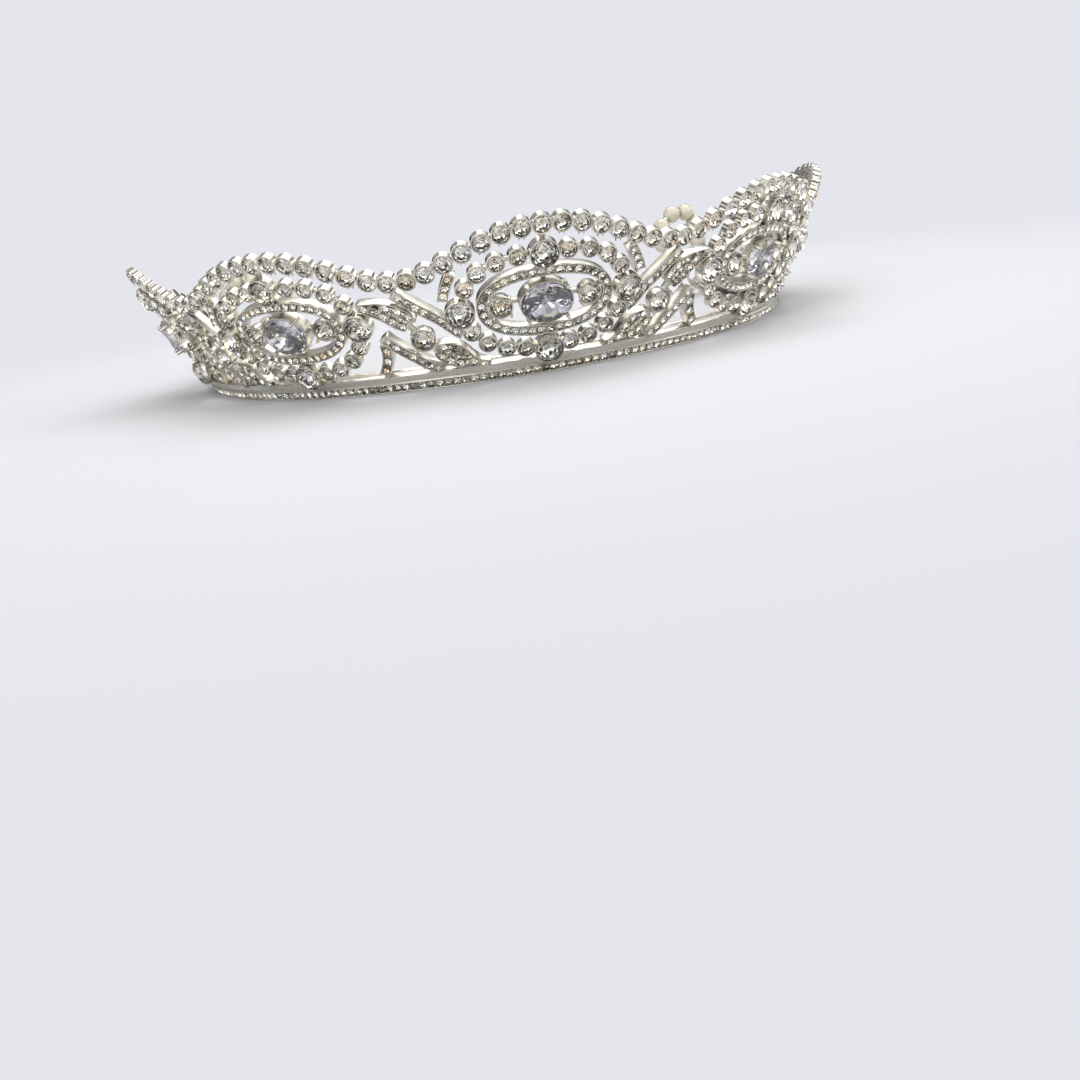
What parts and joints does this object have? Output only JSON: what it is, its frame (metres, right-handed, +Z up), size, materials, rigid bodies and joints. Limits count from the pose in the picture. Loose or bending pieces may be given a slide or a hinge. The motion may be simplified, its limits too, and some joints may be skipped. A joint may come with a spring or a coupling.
{
  "type": "bridal tiara",
  "caption": "Full-circle bridal tiara: cast and soldered metal wall of oval motifs and leaf scrolls set with crystals, scalloped garland top, chain-set base band and pearl end loops.",
  "frame": {"origin": "centre of the head circle on the plane that the base band stands on", "axes": "+Z up, -Y the front that is worn over the forehead, +X to the wearer's left"},
  "size_m": [0.1828, 0.1273, 0.0342],
  "materials": {
    "cast_metal": "satin silver-coloured plating on cast alloy",
    "band_metal": "silver-coloured plating, brushed along the band",
    "rail_metal": "drawn wire, plated",
    "wire_metal": "bright plated wire and spacers",
    "clear_crystal": "cut glass with foiled back",
    "oval_crystal": "cut clear stone, polished",
    "pearl": "ivory pearl coat, soft gloss"
  },
  "bodies": {
    "tiara": {"accent_stones": "clear_crystal", "arch_strips_center": "cast_metal", "arch_strips_left": "cast_metal", "arch_strips_outer_left": "cast_metal", "arch_strips_outer_right": "cast_metal", "arch_strips_right": "cast_metal", "band_stones": "clear_crystal", "base_band": "band_metal", "brace_left_inner": "cast_metal", "brace_left_outer": "cast_metal", "brace_right_inner": "cast_metal", "brace_right_outer": "cast_metal", "center_setting_center": "cast_metal", "center_setting_left": "cast_metal", "center_setting_outer_left": "cast_metal", "center_setting_outer_right": "cast_metal", "center_setting_right": "cast_metal", "connector_pave_stones": "clear_crystal", "connector_stones": "clear_crystal", "end_piece_left": "cast_metal", "end_piece_right": "cast_metal", "end_strips_left": "cast_metal", "end_strips_right": "cast_metal", "flank_stones": "clear_crystal", "garland_center": "cast_metal", "garland_left": "cast_metal", "garland_outer_left": "cast_metal", "garland_outer_right": "cast_metal", "garland_right": "cast_metal", "garland_stones": "clear_crystal", "leaves_left_inner": "cast_metal", "leaves_left_outer": "cast_metal", "leaves_right_inner": "cast_metal", "leaves_right_outer": "cast_metal", "motif_pave_stones": "clear_crystal", "oval_frame_center": "cast_metal", "oval_frame_left": "cast_metal", "oval_frame_outer_left": "cast_metal", "oval_frame_outer_right": "cast_metal", "oval_frame_right": "cast_metal", "oval_stones": "oval_crystal", "rail_lower": "rail_metal", "rail_upper": "rail_metal", "ribbon_left_inner": "cast_metal", "ribbon_left_outer": "cast_metal", "ribbon_right_inner": "cast_metal", "ribbon_right_outer": "cast_metal", "wreath_center": "cast_metal", "wreath_left": "cast_metal", "wreath_outer_left": "cast_metal", "wreath_outer_right": "cast_metal", "wreath_right": "cast_metal", "wreath_stones": "clear_crystal"},
    "left_pearl_loop": {"loop_wire_left": "wire_metal", "pearls_left": "pearl", "spacers_left": "wire_metal"},
    "right_pearl_loop": {"loop_wire_right": "wire_metal", "pearls_right": "pearl", "spacers_right": "wire_metal"}
  },
  "joints": [
    {"name": "left_loop_swing", "type": "hinge", "parent": "tiara", "child": "left_pearl_loop", "pos_m": [-0.06902, 0.03181, 0.0032], "axis": [-0.8638, 0.398, 0.309], "range_deg": [-8, 85]},
    {"name": "right_loop_swing", "type": "hinge", "parent": "tiara", "child": "right_pearl_loop", "pos_m": [0.06902, 0.03181, 0.0032], "axis": [-0.8638, -0.398, -0.309], "range_deg": [-8, 85]}
  ]
}
